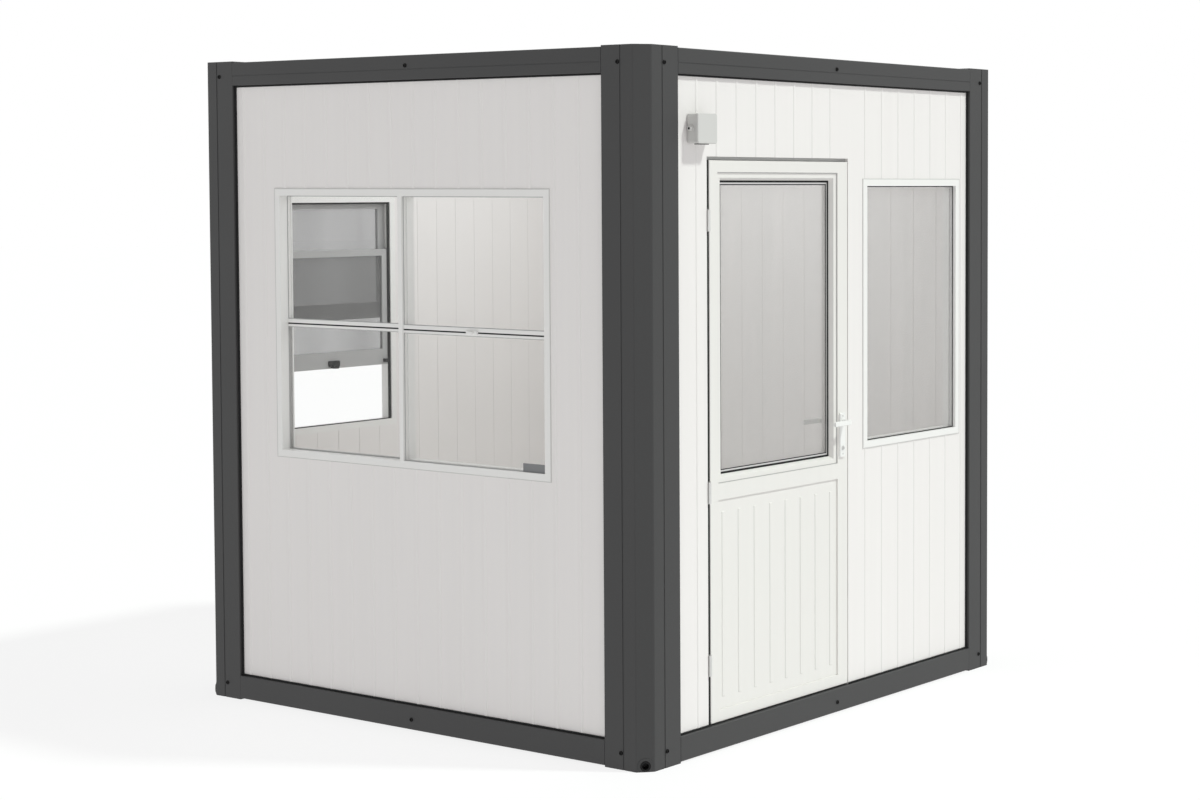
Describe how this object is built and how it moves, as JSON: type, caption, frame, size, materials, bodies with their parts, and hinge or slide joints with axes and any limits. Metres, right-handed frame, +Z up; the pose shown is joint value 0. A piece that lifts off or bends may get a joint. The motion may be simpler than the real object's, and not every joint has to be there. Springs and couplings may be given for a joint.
{
  "type": "security guard booth",
  "caption": "Square ground-standing guard booth: steel corner-post frame, insulated wall panels, half-glazed swing door with lever handle, wide window, side windows and flat roof.",
  "frame": {"origin": "on the ground at the centre of the square plan", "axes": "+Z up; -Y out through the wall with the door; -X out through the wall with the wide window"},
  "size_m": [2.4, 2.441, 2.65],
  "materials": {
    "frame_paint": "anthracite satin paint",
    "panel_white": "warm white coated steel skin",
    "window_white": "white extruded profile",
    "clear_glass": "clear double glazing",
    "grey_glass": "grey glazing",
    "sash_grey": "grey extruded profile",
    "floor_ply": "sealed floor board",
    "roof_zinc": "zinc coated sheet",
    "threshold_metal": "plain aluminium",
    "hinge_metal": "zinc plated",
    "handle_white": "white coated lever",
    "cylinder_chrome": "nickel plated",
    "black_rubber": "black moulded",
    "black_plastic": "black moulded",
    "box_grey": "light grey moulded"
  },
  "bodies": {
    "booth": {"corner_post_front_left": "frame_paint", "corner_post_front_right": "frame_paint", "corner_post_back_left": "frame_paint", "corner_post_back_right": "frame_paint", "bottom_rail_front": "frame_paint", "bottom_rail_right": "frame_paint", "bottom_rail_back": "frame_paint", "bottom_rail_left": "frame_paint", "top_rail_front": "frame_paint", "top_rail_right": "frame_paint", "top_rail_back": "frame_paint", "top_rail_left": "frame_paint", "drain_stubs": "black_rubber", "front_wall_beside_hinges": "panel_white", "front_wall_over_door": "panel_white", "front_wall_with_window": "panel_white", "back_wall": "panel_white", "left_wall": "panel_white", "right_wall": "panel_white", "ceiling_panel": "panel_white", "floor_board": "floor_ply", "floor_joists": "frame_paint", "roof_sheet": "roof_zinc", "door_jamb_hinge_side": "window_white", "door_jamb_lock_side": "window_white", "door_head": "window_white", "door_threshold": "threshold_metal", "left_window_panes": "clear_glass", "front_window_pane": "clear_glass", "hinge_frame_halves": "hinge_metal", "left_window_frame": "window_white", "front_window_frame": "window_white", "back_window_frame": "window_white", "left_window_meeting_rails": "window_white", "left_window_latch": "window_white", "back_window_glass": "grey_glass", "back_window_upper_sash": "sash_grey", "back_window_raised_sash": "sash_grey", "back_window_pull_and_catch": "black_plastic", "junction_box": "box_grey"},
    "door": {"door_leaf": "window_white", "door_glass": "clear_glass", "door_glazing_bead": "window_white", "door_lower_panel": "window_white", "hinge_leaf_halves": "hinge_metal", "handle_plates": "handle_white", "lock_cylinder": "cylinder_chrome"},
    "handle": {"lever_handle": "handle_white"}
  },
  "joints": [
    {"name": "door_swing", "type": "hinge", "parent": "booth", "child": "door", "pos_m": [-0.8085, -1.187, 1.17], "axis": [0, 0, -1], "range_deg": [0, 110]},
    {"name": "handle_turn", "type": "hinge", "parent": "door", "child": "handle", "pos_m": [0.05, -1.155, 1.183], "axis": [0, -1, 0], "range_deg": [0, 40], "stiffness_Nm_per_rad": 2, "springref_deg": -20.05}
  ]
}
